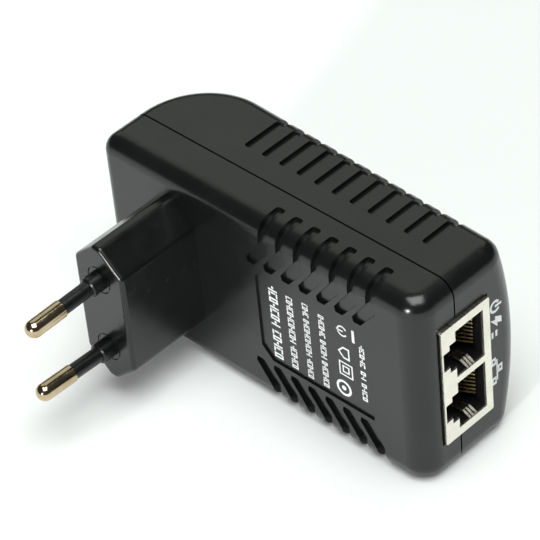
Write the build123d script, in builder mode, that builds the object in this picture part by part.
"""Wall-plug PoE injector: Europlug tower, two-shell case, mains supply board and a
shielded double RJ45 jack.

Frame, millimetres: the case stands on one narrow side. +X runs from the rounded far end to
the jack end, -Y is the side that plugs into the wall, +Z is up. The origin is the middle of
the bounding box in X and Y, at the lowest point in Z.
"""
import math
import os

from build123d import *

os.makedirs("parts", exist_ok=True)

# ---------------------------------------------------------------- driving dimensions
case_length = 89.6
case_width = 49.0
case_depth = 33.7
tower_height = 21.2
pin_length = 20.4
jack_proud = 0.8
tower_from_far_end = 20.0
wall = 2.0
seam_from_label = 10.8
seam_gap = 0.4
edge_radius = 4.0

# ---------------------------------------------------------------- case shape
far_corner_radius = 3.0
label_end_radius = 5.5
back_end_radius = 5.0
far_sweep_radius = 17.5
crown_radius = 85.0
back_taper = math.radians(2.36)
tongue_depth = 1.8
tongue_clearance = 0.05

# ---------------------------------------------------------------- main datums
# case_depth is where the tapered back face would meet the far wall; the far sweep rounds that
# corner off, so the case is deepest a little further in and a little less deep than that.
depth_lost = far_sweep_radius * (math.tan(back_taper) + 1 / math.cos(back_taper) - 1)
overall_depth = pin_length + tower_height + case_depth - depth_lost
far_x = -(case_length + jack_proud) / 2
end_x = far_x + case_length
jack_face_x = end_x + jack_proud
tower_x = far_x + tower_from_far_end
mid_z = case_width / 2
tower_face_y = pin_length - overall_depth / 2
label_y = tower_face_y + tower_height
seam_y = label_y + seam_from_label
back_y = label_y + case_depth

# ---------------------------------------------------------------- grip channels
channel_pitch = 4.93
channel_width = 2.4
channel_depth = 0.8
channel_corner_radius = 5.0
channel_end_radius = 0.7
channel_foot_shift = 0.3
channel_inner_drop = 1.7
front_channel_count = 7
front_channel_x = tower_x + 26.2
front_channel_end_y = label_y + 6.6
slant_x = 4.1
slant_top_z = case_width - 5.5
slant_foot_z = case_width - 11.0
channel_foot_z = case_width - 12.3
channel_foot_width = 1.9
label_middle_z = mid_z - 0.9
back_channel_count = 11
back_channel_x = tower_x + 6.8
back_channel_start_y = label_y + 16.5
back_channel_foot_z = case_width - 8.5

# ---------------------------------------------------------------- label field
label_depth = 0.45
label_x = tower_x + 24.2
label_length = 31.7
label_height = 23.9
label_top_z = label_middle_z + label_height / 2
label_foot_z = label_middle_z - label_height / 2
label_top_cut = (1.4, 1.9)
label_foot_cut = (2.9, 3.0)

# ---------------------------------------------------------------- plug
tower_size_x = 14.2
tower_size_z = 35.9
tower_flat_z = 2.0
tower_side_z = 25.0
tower_edge_radius = 1.5
tower_face_radius = 0.9
tower_wall = 1.8
tower_face_wall = 4.0
flange_margin = 2.0
flange_thickness = 1.6
pin_radius = 2.0
shank_radius = 1.4
sleeve_radius = 1.75
collar_radius = 2.3
collar_gap = 0.1
collar_length = 3.4
sleeve_length = 11.0
sleeve_root = 2.0
sleeve_edge = 0.2
collar_edge = 0.3
pin_tail_length = 9.0
pin_tail_radius = 1.1
pin_flange_radius = 2.8
pin_flange_end = 5.5
pin_spacing_at_face = 18.6
pin_spacing_at_tip = 17.5
ring_radius = 3.2
ring_width = 0.3
ring_depth = 0.3
lead_radius = 0.9

# ---------------------------------------------------------------- double RJ45 jack
jack_width = 30.5
jack_depth = 14.5
jack_length = 21.0
jack_y = label_y + 5.6
jack_gap = 0.3
jack_rib_thickness = 1.6
port_pitch = 13.97
port_half_width = 6.15
port_half_steps = (3.65, 2.3)
port_top = 12.5
port_floor = 4.15
port_steps = (2.3, 0.45)
port_length = 13.0
sheet = 0.35
contact_pitch = 1.016
contact_count = 8

# ---------------------------------------------------------------- board
board_y = jack_y
board_thickness = 1.6
board_x = (far_x + 3.1, end_x - 2.7)
board_z = (3.0, case_width - 3.0)
board_middle_x = sum(board_x) / 2
board_length = board_x[1] - board_x[0]
board_width = board_z[1] - board_z[0]
post_places = [(-37.5, 7.5), (-37.5, case_width - 7.5), (20.6, 6.0), (20.6, case_width - 6.0)]
post_radius = 1.9
lead_land_x = tower_x + 13.0
lead_top_y = board_y + 5.0
lead_bend_radius = 3.5
film_x = 3.0
film_size = (30.0, 38.0)
film_corner = 1.0
film_thickness = 0.3


def facing_label(y):
    """Sketch plane seen from the plug side at depth y: local x is X and local y is Z."""
    return Plane.XZ.offset(-y)


# ---------------------------------------------------------------- case halves as solid blocks
def front_block(inset, radius):
    """Solid label-side half, drawn in by inset, with its long edges rounded to radius."""
    with BuildPart() as block:
        with BuildSketch(Plane.XY.offset(inset)):
            with BuildLine():
                Polyline(
                    (far_x + inset, seam_y),
                    (far_x + inset, label_y + inset),
                    (end_x - inset, label_y + inset),
                    (end_x - inset, seam_y),
                    close=True,
                )
            make_face()
        extrude(amount=case_width - 2 * inset)
        uprights = block.edges().filter_by(Axis.Z).group_by(Axis.Y)[0].sort_by(Axis.X)
        fillet(uprights[-1], label_end_radius - inset)
        fillet(uprights[0], max(far_corner_radius - inset, 0.5))
        rim = block.faces().filter_by(Axis.Z).edges()
        fillet(rim.filter_by(lambda edge: edge.center().Y < seam_y - 0.01), radius)
    return block.part


def back_block(inset):
    """Solid back half: crowned, slightly tapered, with one big round at the far end."""
    half_width = mid_z - inset
    crown_top = back_y - inset
    crown_side = crown_top - crown_radius + math.sqrt(crown_radius**2 - half_width**2)
    root_y = seam_y - wall * 2
    run = (case_length - 2 * inset) / math.cos(back_taper)
    with BuildPart() as block:
        with BuildSketch(Plane.YZ.offset(far_x + inset)):
            with BuildLine():
                Polyline(
                    (crown_side, case_width - inset),
                    (root_y, case_width - inset),
                    (root_y, inset),
                    (crown_side, inset),
                )
                ThreePointArc(
                    (crown_side, inset), (crown_top, mid_z), (crown_side, case_width - inset)
                )
            make_face()
        extrude(amount=run, dir=(math.cos(back_taper), -math.sin(back_taper), 0))
        split(bisect_by=facing_label(seam_y), keep=Keep.BOTTOM)
        back_corners = (
            block.edges()
            .filter_by(lambda edge: abs(edge.center().Z - mid_z) < 0.1)
            .filter_by(lambda edge: edge.center().Y > seam_y + 1)
            .sort_by(Axis.X)
        )
        far_corner, end_corner = back_corners[0], back_corners[-1]
        fillet(far_corner, far_sweep_radius - inset)
        fillet(end_corner, back_end_radius - inset)
        rim = block.faces().filter_by(Axis.Z).edges()
        fillet(rim.filter_by(lambda edge: edge.center().Y > seam_y + 0.01), edge_radius - inset)
    return block.part


def front_channel_cutter():
    """Seven slanted channels over the top edge, and their mirror image over the bottom edge."""
    with BuildPart() as cutter:
        for index in range(front_channel_count):
            x = front_channel_x + index * channel_pitch
            foot_x = x - slant_x + channel_foot_shift
            with BuildSketch(facing_label(label_y + 4)):
                with BuildLine():
                    Polyline(
                        (x, case_width + 1),
                        (x, slant_top_z),
                        (x - slant_x, slant_foot_z),
                        (foot_x, channel_foot_z),
                        (foot_x + channel_foot_width, channel_foot_z),
                        (x + channel_width, slant_top_z - channel_inner_drop),
                        (x + channel_width, case_width + 1),
                        close=True,
                    )
                make_face()
            extrude(amount=5)
            with BuildSketch(Plane.XY.offset(case_width - 6)):
                with Locations((x + channel_width / 2, front_channel_end_y - 5)):
                    RectangleRounded(channel_width, 10, channel_end_radius)
            extrude(amount=7)
        mirror(about=Plane.XY.offset(label_middle_z))
        add(front_block(channel_depth, channel_corner_radius), mode=Mode.SUBTRACT)
    return cutter.part


def back_channel_cutter():
    """Eleven straight channels over the top back edge and eleven over the bottom back edge."""
    with BuildPart() as cutter:
        for index in range(back_channel_count):
            x = back_channel_x + index * channel_pitch + channel_width / 2
            with BuildSketch(Plane.XY.offset(back_channel_foot_z)):
                with Locations((x, back_channel_start_y + 10)):
                    RectangleRounded(channel_width, 20, channel_end_radius)
            extrude(amount=case_width - back_channel_foot_z + 1)
        mirror(about=Plane.XY.offset(mid_z))
        add(back_block(channel_depth), mode=Mode.SUBTRACT)
    return cutter.part


def jack_opening():
    """Clear rectangle through the jack-end wall."""
    with BuildPart() as opening:
        with BuildSketch(Plane.YZ.offset(end_x - 2 * wall)):
            with Locations((jack_y + jack_depth / 2, mid_z)):
                Rectangle(jack_depth + 2 * jack_gap, jack_width + 2 * jack_gap)
        extrude(amount=3 * wall)
    return opening.part


def tower_outline(margin):
    """Eight-sided Europlug outline about its centre, grown or shrunk by margin."""
    half_x = tower_size_x / 2 + margin
    half_z = tower_size_z / 2 + margin
    bevel = margin * math.tan(math.radians(22.5))
    flat = tower_flat_z / 2 + bevel
    side = tower_side_z / 2 + bevel
    with BuildSketch() as outline:
        with BuildLine():
            Polyline(
                (half_x, -side),
                (half_x, side),
                (flat, half_z),
                (-flat, half_z),
                (-half_x, side),
                (-half_x, -side),
                (-flat, -half_z),
                (flat, -half_z),
                close=True,
            )
        make_face()
    return outline.sketch


def pin_plane(side):
    """Plane of one pin: origin on the tower face, local z out along the pin; side is +1 or -1."""
    lean = (pin_spacing_at_face - pin_spacing_at_tip) / 2 / pin_length
    origin = (tower_x, tower_face_y, mid_z + side * pin_spacing_at_face / 2)
    return Plane(origin=origin, x_dir=(1, 0, 0), z_dir=(0, -1, -side * lean))


# ---------------------------------------------------------------- front shell
with BuildPart() as front_shell:
    add(front_block(0, edge_radius))
    add(front_block(wall, edge_radius - wall), mode=Mode.SUBTRACT)
    # Rebate for the back shell's tongue, and half of the shadow gap at the seam.
    with BuildPart(mode=Mode.PRIVATE) as rebate:
        add(front_block(wall / 2, edge_radius - wall / 2))
        split(bisect_by=facing_label(seam_y - tongue_depth - 0.2), keep=Keep.BOTTOM)
    add(rebate.part, mode=Mode.SUBTRACT)
    split(bisect_by=facing_label(seam_y - seam_gap / 2), keep=Keep.TOP)
    add(front_channel_cutter(), mode=Mode.SUBTRACT)
    add(jack_opening(), mode=Mode.SUBTRACT)
    # Through opening for the plug tower.
    with BuildSketch(Plane((tower_x, label_y - 1, mid_z), x_dir=(1, 0, 0), z_dir=(0, -1, 0))):
        add(tower_outline(0))
    extrude(amount=-(wall + 2), mode=Mode.SUBTRACT)
    # Recessed label field with two cut corners.
    with BuildSketch(facing_label(label_y + label_depth)):
        with BuildLine():
            Polyline(
                (label_x, label_foot_z + label_foot_cut[1]),
                (label_x, label_top_z - label_top_cut[1]),
                (label_x + label_top_cut[0], label_top_z),
                (label_x + label_length, label_top_z),
                (label_x + label_length, label_foot_z),
                (label_x + label_foot_cut[0], label_foot_z),
                close=True,
            )
        make_face()
    extrude(amount=label_depth + 1, mode=Mode.SUBTRACT)
    # Posts that carry the board.
    with BuildSketch(facing_label(board_y - board_thickness)):
        with Locations(post_places):
            Circle(post_radius)
    extrude(amount=board_y - board_thickness - label_y - wall / 2)

front_shell.part.label = "front_shell"
export_step(front_shell.part, "parts/front_shell.step")

# ---------------------------------------------------------------- back shell
with BuildPart() as back_shell:
    add(back_block(0))
    add(back_block(wall), mode=Mode.SUBTRACT)
    split(bisect_by=facing_label(seam_y + seam_gap / 2), keep=Keep.BOTTOM)
    # Tongue that slides inside the front shell's rebate.
    with BuildPart(mode=Mode.PRIVATE) as tongue:
        tongue_inset = wall / 2 + tongue_clearance
        add(front_block(tongue_inset, edge_radius - tongue_inset))
        add(front_block(wall, edge_radius - wall), mode=Mode.SUBTRACT)
        split(bisect_by=facing_label(seam_y - tongue_depth), keep=Keep.BOTTOM)
    add(tongue.part)
    with BuildPart(mode=Mode.PRIVATE) as tongue_root:
        add(back_block(tongue_inset))
        add(back_block(wall), mode=Mode.SUBTRACT)
        split(bisect_by=facing_label(seam_y + seam_gap), keep=Keep.TOP)
    add(tongue_root.part)
    add(back_channel_cutter(), mode=Mode.SUBTRACT)
    add(jack_opening(), mode=Mode.SUBTRACT)
    # Pillars that hold the board down, and two ribs that hold the jack down.
    with BuildPart(mode=Mode.PRIVATE) as pillars:
        with BuildSketch(facing_label(board_y)):
            with Locations(post_places):
                Circle(post_radius)
        extrude(amount=board_y - back_y)
        with BuildSketch(facing_label(jack_y + jack_depth)):
            with Locations((jack_face_x - 8, mid_z), (jack_face_x - 16, mid_z)):
                Rectangle(jack_rib_thickness, jack_width - 6)
        extrude(amount=jack_y + jack_depth - back_y)
        add(back_block(wall / 2) + front_block(wall, 0.5), mode=Mode.INTERSECT)
    add(pillars.part)

back_shell.part.label = "back_shell"
export_step(back_shell.part, "parts/back_shell.step")

# ---------------------------------------------------------------- plug tower
with BuildPart() as plug_tower:
    with BuildSketch(Plane((tower_x, tower_face_y, mid_z), x_dir=(1, 0, 0), z_dir=(0, -1, 0))):
        add(tower_outline(0))
    extrude(amount=-(tower_height + wall))
    fillet(plug_tower.edges().filter_by(Axis.Y), tower_edge_radius)
    fillet(plug_tower.faces().sort_by(Axis.Y)[0].outer_wire().edges(), tower_face_radius)
    flange_plane = Plane((tower_x, label_y + wall, mid_z), x_dir=(1, 0, 0), z_dir=(0, -1, 0))
    with BuildSketch(flange_plane):
        add(tower_outline(flange_margin))
    extrude(amount=-flange_thickness)
    with BuildSketch(flange_plane.offset(-flange_thickness)):
        add(tower_outline(-tower_wall))
    extrude(amount=tower_height + wall + flange_thickness - tower_face_wall, mode=Mode.SUBTRACT)
    for pin_side in (1, -1):
        with BuildSketch(pin_plane(pin_side)):
            Circle(shank_radius)
        extrude(amount=-tower_face_wall - 1, mode=Mode.SUBTRACT)
        with BuildSketch(pin_plane(pin_side).offset(0.5)):
            Circle(sleeve_radius)
        extrude(amount=-0.5 - sleeve_root, mode=Mode.SUBTRACT)
        with BuildSketch(pin_plane(pin_side).offset(-tower_face_wall)):
            Circle(pin_flange_radius + 0.1)
        extrude(amount=-2, mode=Mode.SUBTRACT)
        with BuildSketch(pin_plane(pin_side).offset(0.5)):
            Circle(ring_radius + ring_width / 2)
            Circle(ring_radius - ring_width / 2, mode=Mode.SUBTRACT)
        extrude(amount=-0.5 - ring_depth, mode=Mode.SUBTRACT)

plug_tower.part.label = "plug_tower"
export_step(plug_tower.part, "parts/plug_tower.step")

# ---------------------------------------------------------------- pins, sleeves and leads
for pin_name, pin_side in (("upper", 1), ("lower", -1)):
    axis_plane = pin_plane(pin_side)
    section_plane = Plane(axis_plane.origin, x_dir=axis_plane.x_dir, z_dir=-axis_plane.y_dir)
    pin_axis = Axis(axis_plane.origin, axis_plane.z_dir)

    with BuildPart() as plug_pin:
        with BuildSketch(section_plane):
            with BuildLine():
                Polyline(
                    (0, pin_length),
                    (0, -pin_tail_length),
                    (pin_tail_radius, -pin_tail_length),
                    (pin_tail_radius, -pin_flange_end),
                    (pin_flange_radius, -pin_flange_end),
                    (pin_flange_radius, -tower_face_wall),
                    (shank_radius, -tower_face_wall),
                    (shank_radius, sleeve_length),
                    (pin_radius, sleeve_length),
                    (pin_radius, pin_length - pin_radius),
                )
                CenterArc((0, pin_length - pin_radius), pin_radius, 0, 90)
            make_face()
        revolve(axis=pin_axis)
    plug_pin.part.label = f"plug_pin_{pin_name}"
    export_step(plug_pin.part, f"parts/plug_pin_{pin_name}.step")

    with BuildPart() as pin_sleeve:
        with BuildSketch(section_plane):
            with BuildLine():
                Polyline(
                    (shank_radius, -sleeve_root),
                    (sleeve_radius, -sleeve_root),
                    (sleeve_radius, collar_gap),
                    (collar_radius, collar_gap),
                    (collar_radius, collar_length - collar_edge),
                    (collar_radius - collar_edge, collar_length),
                    (sleeve_radius, collar_length),
                    (sleeve_radius, sleeve_length - sleeve_edge),
                    (sleeve_radius - sleeve_edge, sleeve_length),
                    (shank_radius, sleeve_length),
                    close=True,
                )
            make_face()
        revolve(axis=pin_axis)
    pin_sleeve.part.label = f"pin_sleeve_{pin_name}"
    export_step(pin_sleeve.part, f"parts/pin_sleeve_{pin_name}.step")

    lead_start = axis_plane.origin - axis_plane.z_dir * pin_tail_length
    rise = (lead_top_y - lead_start.Y) / -axis_plane.z_dir.Y
    lead_bend = lead_start - axis_plane.z_dir * rise
    with BuildPart() as ac_lead:
        with BuildLine():
            FilletPolyline(
                lead_start,
                lead_bend,
                (lead_land_x, lead_top_y, lead_bend.Z),
                (lead_land_x, board_y, lead_bend.Z),
                radius=lead_bend_radius,
            )
        with BuildSketch(Plane(lead_start, z_dir=-axis_plane.z_dir)):
            Circle(lead_radius)
        sweep()
    ac_lead.part.label = f"ac_lead_{pin_name}"
    export_step(ac_lead.part, f"parts/ac_lead_{pin_name}.step")

# ---------------------------------------------------------------- main board
with BuildPart() as main_board:
    with BuildSketch(facing_label(board_y - board_thickness)):
        with Locations((board_middle_x, mid_z)):
            RectangleRounded(board_length, board_width, 2)
        with Locations(
            (tower_x, mid_z + pin_spacing_at_face / 2 + 0.8),
            (tower_x, mid_z - pin_spacing_at_face / 2 - 0.8),
        ):
            Circle(lead_radius + 0.7, mode=Mode.SUBTRACT)
    extrude(amount=-board_thickness)

main_board.part.label = "main_board"
export_step(main_board.part, "parts/main_board.step")

with BuildPart() as insulation_sheet:
    with BuildSketch(facing_label(label_y + wall)):
        with Locations((film_x, mid_z)):
            RectangleRounded(*film_size, film_corner)
    extrude(amount=-film_thickness)

insulation_sheet.part.label = "insulation_sheet"
export_step(insulation_sheet.part, "parts/insulation_sheet.step")


# ---------------------------------------------------------------- double RJ45 jack
port_centres = {
    "poe": mid_z + port_pitch / 2,
    "lan": mid_z - port_pitch / 2,
}


def port_outline(centre_z, margin):
    """Stepped RJ45 opening with its latch side towards the label, in Y-Z coordinates."""
    half = port_half_width - margin
    wide_step = port_half_steps[0] - margin
    narrow_step = port_half_steps[1] - margin
    top = jack_y + port_top - margin
    floor = jack_y + port_floor + margin
    first_step = jack_y + port_steps[0] + margin
    second_step = jack_y + port_steps[1] + margin
    with BuildSketch() as outline:
        with BuildLine():
            Polyline(
                (top, centre_z - half),
                (top, centre_z + half),
                (floor, centre_z + half),
                (floor, centre_z + wide_step),
                (first_step, centre_z + wide_step),
                (first_step, centre_z + narrow_step),
                (second_step, centre_z + narrow_step),
                (second_step, centre_z - narrow_step),
                (first_step, centre_z - narrow_step),
                (first_step, centre_z - wide_step),
                (floor, centre_z - wide_step),
                (floor, centre_z - half),
                close=True,
            )
        make_face()
    return outline.sketch


jack_rear_x = jack_face_x - jack_length
cavity_back_x = jack_face_x - sheet - port_length
finger_y = jack_y + 8.6
finger_width = 2.4
finger_prongs = 3
prong_width = 0.6
finger_bend = (2.3, 0.85)
finger_tip = (5.4, 0.45)
finger_relief = (4.0, 1.0)
contact_run_y = jack_y + port_top - 0.8
contact_tail_x = jack_rear_x + 2.5
contact_bend = 3.0
contact_tip = (10.8, 4.2)
contact_width = 0.44
contact_thickness = 0.3
contact_slot = (0.5, 0.6)
housing_back_height = 12.4
housing_back_depth = 4.0

with BuildPart() as rj45_shield:
    with BuildSketch(Plane.YZ.offset(jack_rear_x)):
        with Locations((jack_y + jack_depth / 2, mid_z)):
            Rectangle(jack_depth, jack_width)
    extrude(amount=jack_length)
    fillet(rj45_shield.edges().filter_by(Axis.X), 0.5)
    with BuildSketch(Plane.YZ.offset(jack_rear_x + sheet)):
        with Locations((jack_y + (jack_depth - sheet) / 2 - 0.5, mid_z)):
            Rectangle(jack_depth - sheet + 1, jack_width - 2 * sheet)
    extrude(amount=jack_length - 2 * sheet, mode=Mode.SUBTRACT)
    with BuildSketch(Plane.YZ.offset(jack_face_x - 2 * sheet)):
        for centre_z in port_centres.values():
            add(port_outline(centre_z, 0))
    extrude(amount=3 * sheet, mode=Mode.SUBTRACT)
    # Sprung grounding finger of three prongs, folded in from the face at the foot of each port.
    for centre_z in port_centres.values():
        root_z = centre_z - port_half_width
        for prong in range(finger_prongs):
            prong_step = (finger_width - prong_width) / (finger_prongs - 1)
            prong_y = finger_y + finger_width / 2 - prong * prong_step
            with BuildSketch(facing_label(prong_y)):
                with BuildLine():
                    Polyline(
                        (jack_face_x - 0.1, root_z - 0.15),
                        (jack_face_x - finger_bend[0], root_z + finger_bend[1]),
                        (jack_face_x - finger_tip[0], root_z + finger_tip[1]),
                    )
                trace(line_width=0.25)
            extrude(amount=prong_width)

rj45_shield.part.label = "rj45_shield"
export_step(rj45_shield.part, "parts/rj45_shield.step")

with BuildPart() as rj45_housing:
    with BuildSketch(Plane.YZ.offset(jack_rear_x + sheet)):
        with Locations((jack_y + (jack_depth - sheet) / 2, mid_z)):
            Rectangle(jack_depth - sheet, jack_width - 2 * sheet)
    extrude(amount=jack_length - 2 * sheet)
    with BuildSketch(Plane.YZ.offset(cavity_back_x)):
        for centre_z in port_centres.values():
            add(port_outline(centre_z, 0.25))
    extrude(amount=port_length, mode=Mode.SUBTRACT)
    # Relief beside each grounding finger.
    for centre_z in port_centres.values():
        with BuildSketch(facing_label(finger_y + finger_width / 2 + 0.2)):
            with Locations((jack_face_x - finger_relief[0] / 2, centre_z - port_half_width + 0.2)):
                Rectangle(*finger_relief)
        extrude(amount=finger_width + 0.4, mode=Mode.SUBTRACT)
    # Open back where the contact tails drop to the board.
    with BuildSketch(Plane.YZ.offset(jack_rear_x + sheet)):
        with Locations((jack_y + housing_back_height / 2, mid_z)):
            Rectangle(housing_back_height, jack_width - 2 * sheet - 2)
    extrude(amount=housing_back_depth, mode=Mode.SUBTRACT)
    # One slot for each contact, through the wall between the back space and the port.
    with BuildSketch(Plane.YZ.offset(jack_rear_x + 1)):
        for centre_z in port_centres.values():
            with Locations((contact_run_y, centre_z)):
                with GridLocations(1, contact_pitch, 1, contact_count):
                    Rectangle(*contact_slot)
    extrude(amount=cavity_back_x - jack_rear_x, mode=Mode.SUBTRACT)

rj45_housing.part.label = "rj45_housing"
export_step(rj45_housing.part, "parts/rj45_housing.step")

for port_name, centre_z in port_centres.items():
    with BuildPart() as contacts:
        for index in range(contact_count):
            contact_z = centre_z + (index - (contact_count - 1) / 2) * contact_pitch
            with BuildSketch(Plane.XY.offset(contact_z - contact_width / 2)):
                with BuildLine():
                    Polyline(
                        (contact_tail_x, board_y),
                        (contact_tail_x, contact_run_y),
                        (jack_face_x - contact_bend, contact_run_y),
                        (jack_face_x - contact_tip[0], contact_run_y - contact_tip[1]),
                    )
                trace(line_width=contact_thickness)
            extrude(amount=contact_width)
        split(bisect_by=facing_label(board_y), keep=Keep.BOTTOM)
    contacts.part.label = f"rj45_contacts_{port_name}"
    export_step(contacts.part, f"parts/rj45_contacts_{port_name}.step")

# ---------------------------------------------------------------- transformer
transformer_x = 9.5
core_size = (20.0, 16.0, 6.0)
core_leg = 5.6
core_window_x = 4.2
base_thickness = 1.5
core_y = board_y + base_thickness

with BuildPart() as transformer_core:
    with BuildSketch(facing_label(core_y)):
        with Locations((transformer_x, mid_z)):
            Rectangle(core_size[0], core_size[2])
    extrude(amount=-core_size[1])
    for side in (1, -1):
        window_x = transformer_x + side * (core_leg + core_window_x) / 2
        with BuildSketch(facing_label(core_y + core_leg / 2)):
            with Locations((window_x, mid_z)):
                Rectangle(core_window_x, core_size[2] + 1)
        extrude(amount=-(core_size[1] - core_leg), mode=Mode.SUBTRACT)

transformer_core.part.label = "transformer_core"
export_step(transformer_core.part, "parts/transformer_core.step")

spool_low_y = core_y + core_leg / 2
spool_high_y = core_y + core_size[1] - core_leg / 2
spool_inner = core_leg + 0.4
spool_outer = spool_inner + 1.4
coil_size = (12.6, 15.0)
coil_corner = 2.5
bobbin_base = (16.0, 19.0)
bobbin_flange_z = 17.0
bobbin_flange = 1.0
cheek_size = (10.0, 4.0)
cheek_z = 6.0
tape_thickness = 0.3
tape_margin = 0.2

with BuildPart() as transformer_bobbin:
    with BuildSketch(facing_label(board_y)):
        with Locations((transformer_x, mid_z)):
            Rectangle(*bobbin_base)
    extrude(amount=-base_thickness)
    with BuildSketch(facing_label(spool_low_y)):
        with Locations((transformer_x, mid_z)):
            Rectangle(spool_outer, spool_outer + 0.4)
    extrude(amount=spool_low_y - spool_high_y)
    for flange_y in (spool_low_y, spool_high_y - bobbin_flange):
        with BuildSketch(facing_label(flange_y)):
            with Locations((transformer_x, mid_z)):
                RectangleRounded(core_leg + 2 * core_window_x - 0.4, bobbin_flange_z, 1)
        extrude(amount=-bobbin_flange)
    with BuildSketch(facing_label(spool_low_y)):
        with Locations((transformer_x, mid_z)):
            Rectangle(spool_inner, spool_inner + 0.4)
    extrude(amount=spool_low_y - spool_high_y, mode=Mode.SUBTRACT)
    # Two cheeks join the lower flange to the base, one on each side of the core.
    for side in (1, -1):
        with BuildSketch(facing_label(core_y)):
            with Locations((transformer_x, mid_z + side * cheek_z)):
                Rectangle(*cheek_size)
        extrude(amount=core_y - spool_low_y)

transformer_bobbin.part.label = "transformer_bobbin"
export_step(transformer_bobbin.part, "parts/transformer_bobbin.step")

with BuildPart() as transformer_winding:
    with BuildSketch(facing_label(spool_low_y + bobbin_flange)):
        with Locations((transformer_x, mid_z)):
            RectangleRounded(*coil_size, coil_corner)
            Rectangle(spool_outer, spool_outer + 0.4, mode=Mode.SUBTRACT)
    extrude(amount=spool_low_y - spool_high_y + 2 * bobbin_flange)

transformer_winding.part.label = "transformer_winding"
export_step(transformer_winding.part, "parts/transformer_winding.step")

with BuildPart() as transformer_tape:
    with BuildSketch(facing_label(spool_low_y + bobbin_flange + tape_margin)):
        with Locations((transformer_x, mid_z)):
            RectangleRounded(*[side + 2 * tape_thickness for side in coil_size], coil_corner + 0.3)
            RectangleRounded(*coil_size, coil_corner, mode=Mode.SUBTRACT)
    extrude(amount=spool_low_y - spool_high_y + 2 * (bobbin_flange + tape_margin))

transformer_tape.part.label = "transformer_tape"
export_step(transformer_tape.part, "parts/transformer_tape.step")


# ---------------------------------------------------------------- standing parts on the board
def can_capacitor(x, z, radius, height):
    """Electrolytic can with its crimp groove and a rolled top edge."""
    groove_low, groove_middle, groove_high = 1.6, 2.1, 2.6
    groove_depth = 0.5
    top_edge = 0.8
    with BuildPart() as can:
        with BuildSketch(Plane((x, board_y, z), x_dir=(1, 0, 0), z_dir=(0, 0, 1))):
            with BuildLine():
                Polyline(
                    (0, height),
                    (0, 0),
                    (radius, 0),
                    (radius, groove_low),
                    (radius - groove_depth, groove_middle),
                    (radius, groove_high),
                    (radius, height - top_edge),
                    (radius - top_edge, height),
                    close=True,
                )
            make_face()
        revolve(axis=Axis((x, board_y, z), (0, 1, 0)))
    return can.part


# Place X and Z, radius and height of each can.
capacitors = {
    "bulk_capacitor": (-8.6, mid_z, 6.2, 19.0),
    "output_capacitor_1": (17.2, 11.0, 3.9, 14.0),
    "output_capacitor_2": (17.2, 38.0, 3.9, 14.0),
}
for capacitor_name, (x, z, radius, height) in capacitors.items():
    with BuildPart() as capacitor:
        add(can_capacitor(x, z, radius, height))
    capacitor.part.label = capacitor_name
    export_step(capacitor.part, f"parts/{capacitor_name}.step")

x_capacitor_place = (-11.0, 8.6)
x_capacitor_size = (13.0, 6.0)
x_capacitor_height = 12.0

with BuildPart() as x_capacitor:
    with BuildSketch(facing_label(board_y)):
        with Locations(x_capacitor_place):
            RectangleRounded(*x_capacitor_size, 0.6)
    extrude(amount=-x_capacitor_height)
    fillet(x_capacitor.faces().sort_by(Axis.Y)[-1].edges(), 0.5)

x_capacitor.part.label = "x_capacitor"
export_step(x_capacitor.part, "parts/x_capacitor.step")

bridge_x, bridge_z = -9.5, 40.6
bridge_size = (10.0, 4.0)
bridge_height = 11.0
bridge_corner_cut = 3.0

with BuildPart() as bridge_rectifier:
    with BuildSketch(facing_label(board_y)):
        with Locations((bridge_x, bridge_z)):
            RectangleRounded(*bridge_size, 0.4)
    extrude(amount=-bridge_height)
    with BuildSketch(facing_label(board_y + bridge_height + 1)):
        with Locations((bridge_x + bridge_size[0] / 2, bridge_z + bridge_size[1] / 2)):
            Rectangle(bridge_corner_cut, bridge_corner_cut, rotation=45)
    extrude(amount=bridge_height + 2, mode=Mode.SUBTRACT)

bridge_rectifier.part.label = "bridge_rectifier"
export_step(bridge_rectifier.part, "parts/bridge_rectifier.step")

fuse_place = (-18.6, 40.4)
fuse_radius = 3.9
fuse_height = 7.5

with BuildPart() as fuse:
    with BuildSketch(facing_label(board_y)):
        with Locations(fuse_place):
            Circle(fuse_radius)
    extrude(amount=-fuse_height)
    chamfer(fuse.faces().sort_by(Axis.Y)[-1].edges(), 0.6)

fuse.part.label = "fuse"
export_step(fuse.part, "parts/fuse.step")


def standing_disc(x, z, radius, thickness):
    """Dipped disc on two short legs, standing on edge on the board."""
    leg = 2.0
    leg_radius = 0.35
    dip = 0.4
    with BuildPart() as disc:
        middle = (x, board_y + leg + radius - dip, z)
        with BuildSketch(Plane(middle, x_dir=(0, 1, 0), z_dir=(1, 0, 0))):
            Circle(radius)
        extrude(amount=thickness / 2, both=True)
        fillet(disc.edges().filter_by(GeomType.CIRCLE), thickness * 0.45)
        with BuildSketch(facing_label(board_y)):
            with Locations((x, z - radius / 2), (x, z + radius / 2)):
                Circle(leg_radius)
        extrude(amount=-(leg + radius / 2))
    return disc.part


# Place X and Z, radius and thickness of each disc.
discs = {"thermistor": (-20.5, 8.2, 4.4, 3.6), "y_capacitor": (-1.7, 12.0, 3.4, 2.6)}
for disc_name, (x, z, radius, thickness) in discs.items():
    with BuildPart() as disc_part:
        add(standing_disc(x, z, radius, thickness))
    disc_part.part.label = disc_name
    export_step(disc_part.part, f"parts/{disc_name}.step")

# ---------------------------------------------------------------- line filter choke
choke_x = -35.0
choke_radius = 7.2
choke_y = board_y + choke_radius
choke_wall = 3.0
choke_thickness = 5.6
winding_thickness = 1.0
winding_spread = 120
choke_axis = Axis((choke_x, choke_y, mid_z), (1, 0, 0))

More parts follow.
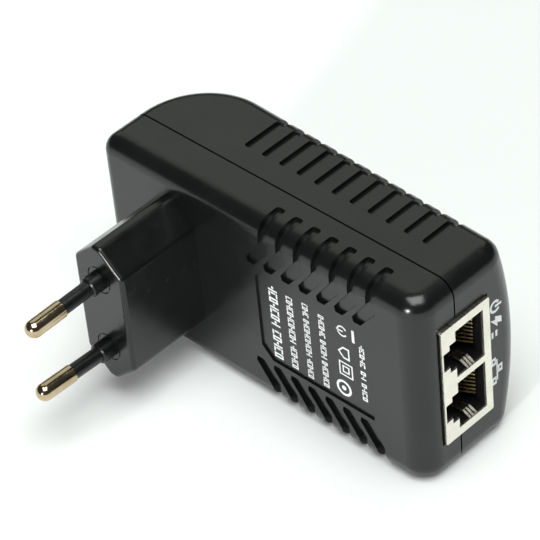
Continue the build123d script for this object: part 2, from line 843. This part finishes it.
with BuildPart() as choke_core:
    with BuildSketch(Plane((choke_x - choke_thickness / 2, choke_y, mid_z), x_dir=(0, 1, 0), z_dir=(1, 0, 0))):
        Circle(choke_radius)
        Circle(choke_radius - choke_wall, mode=Mode.SUBTRACT)
    extrude(amount=choke_thickness)

choke_core.part.label = "choke_core"
export_step(choke_core.part, "parts/choke_core.step")

with BuildPart() as choke_winding:
    for middle_angle in (0, 180):
        turn = math.radians(middle_angle + winding_spread / 2)
        outward = (0, math.sin(turn), math.cos(turn))
        across = (0, math.cos(turn), -math.sin(turn))
        with BuildSketch(Plane((choke_x, choke_y, mid_z), x_dir=outward, z_dir=across)):
            with Locations((choke_radius - choke_wall / 2, 0)):
                RectangleRounded(
                    choke_wall + 2 * winding_thickness, choke_thickness + 2 * winding_thickness, 1.0
                )
                Rectangle(choke_wall, choke_thickness, mode=Mode.SUBTRACT)
        revolve(axis=choke_axis, revolution_arc=winding_spread)

choke_winding.part.label = "choke_winding"
export_step(choke_winding.part, "parts/choke_winding.step")


# ---------------------------------------------------------------- power devices on heat sinks
sink_x = -3.0
sink_length = 15.0
sink_height = 17.0
sink_thickness = 1.4
sink_foot = 3.2
device_x = 6.0
device_leg = 4.0
device_body = (10.0, 4.6, 9.0)
device_tab = (1.2, 3.5)
device_leg_pitch = 2.54
device_leg_section = (0.8, 0.5)


def heat_sink(z, side):
    """Upright aluminium plate along X with a folded foot; side is the way the foot points."""
    top_y = board_y + sink_height
    fold_y = board_y + sink_thickness
    with BuildPart() as plate:
        with BuildSketch(Plane.YZ.offset(sink_x)):
            with BuildLine():
                Polyline(
                    (board_y, z),
                    (top_y, z),
                    (top_y, z + side * sink_thickness),
                    (fold_y, z + side * sink_thickness),
                    (fold_y, z + side * sink_foot),
                    (board_y, z + side * sink_foot),
                    close=True,
                )
            make_face()
        extrude(amount=sink_length)
    return plate.part


def power_device(x, z, side):
    """TO-220 style device: moulded body, tab and three legs, flat against a plate at z."""
    body_x, body_z, body_height = device_body
    tab_thickness, tab_height = device_tab
    with BuildPart() as device:
        with BuildSketch(facing_label(board_y + device_leg)):
            with Locations((x, z + side * body_z / 2)):
                Rectangle(body_x, body_z)
        extrude(amount=-body_height)
        with BuildSketch(facing_label(board_y + device_leg + body_height)):
            with Locations((x, z + side * tab_thickness / 2)):
                Rectangle(body_x, tab_thickness)
        extrude(amount=-tab_height)
        with BuildSketch(facing_label(board_y)):
            with Locations((x, z + side * body_z / 2)):
                with GridLocations(device_leg_pitch, 1, 3, 1):
                    Rectangle(*device_leg_section)
        extrude(amount=-(device_leg + 0.5))
    return device.part


sink_low_z = 5.8
sink_high_z = case_width - 5.8
sinks = {"primary_heat_sink": (sink_low_z, -1), "secondary_heat_sink": (sink_high_z, 1)}
for sink_name, (z, side) in sinks.items():
    with BuildPart() as sink:
        add(heat_sink(z, side))
    sink.part.label = sink_name
    export_step(sink.part, f"parts/{sink_name}.step")

devices = {
    "switching_transistor": (device_x, sink_low_z, 1),
    "output_diode": (device_x, sink_high_z, -1),
}
for device_name, (x, z, side) in devices.items():
    with BuildPart() as device_part:
        add(power_device(x, z, side))
    device_part.part.label = device_name
    export_step(device_part.part, f"parts/{device_name}.step")


# ---------------------------------------------------------------- small packages
package_stand = 0.3
package_leg = (0.5, 1.2)
package_leg_height = 0.9
package_leg_pitch = 1.27


def small_package(x, z, size_x, size_z, height, legs):
    """Moulded chip on gull legs along its two long sides."""
    with BuildPart() as package:
        with BuildSketch(facing_label(board_y + package_stand)):
            with Locations((x, z)):
                RectangleRounded(size_x, size_z, 0.3)
        extrude(amount=-height)
        with BuildSketch(facing_label(board_y)):
            for row in (1, -1):
                with Locations((x, z + row * (size_z / 2 + 0.4))):
                    with GridLocations(package_leg_pitch, 1, legs, 1):
                        Rectangle(*package_leg)
        extrude(amount=-package_leg_height)
    return package.part


# Place X and Z, size X and Z, height and legs a side of each package.
packages = {
    "optocoupler": (-30.0, 40.0, 4.6, 6.4, 3.4, 2),
    "controller_chip": (-30.0, 9.0, 5.0, 4.0, 1.6, 4),
}
for package_name, package_size in packages.items():
    with BuildPart() as package_part:
        add(small_package(*package_size))
    package_part.part.label = package_name
    export_step(package_part.part, f"parts/{package_name}.step")
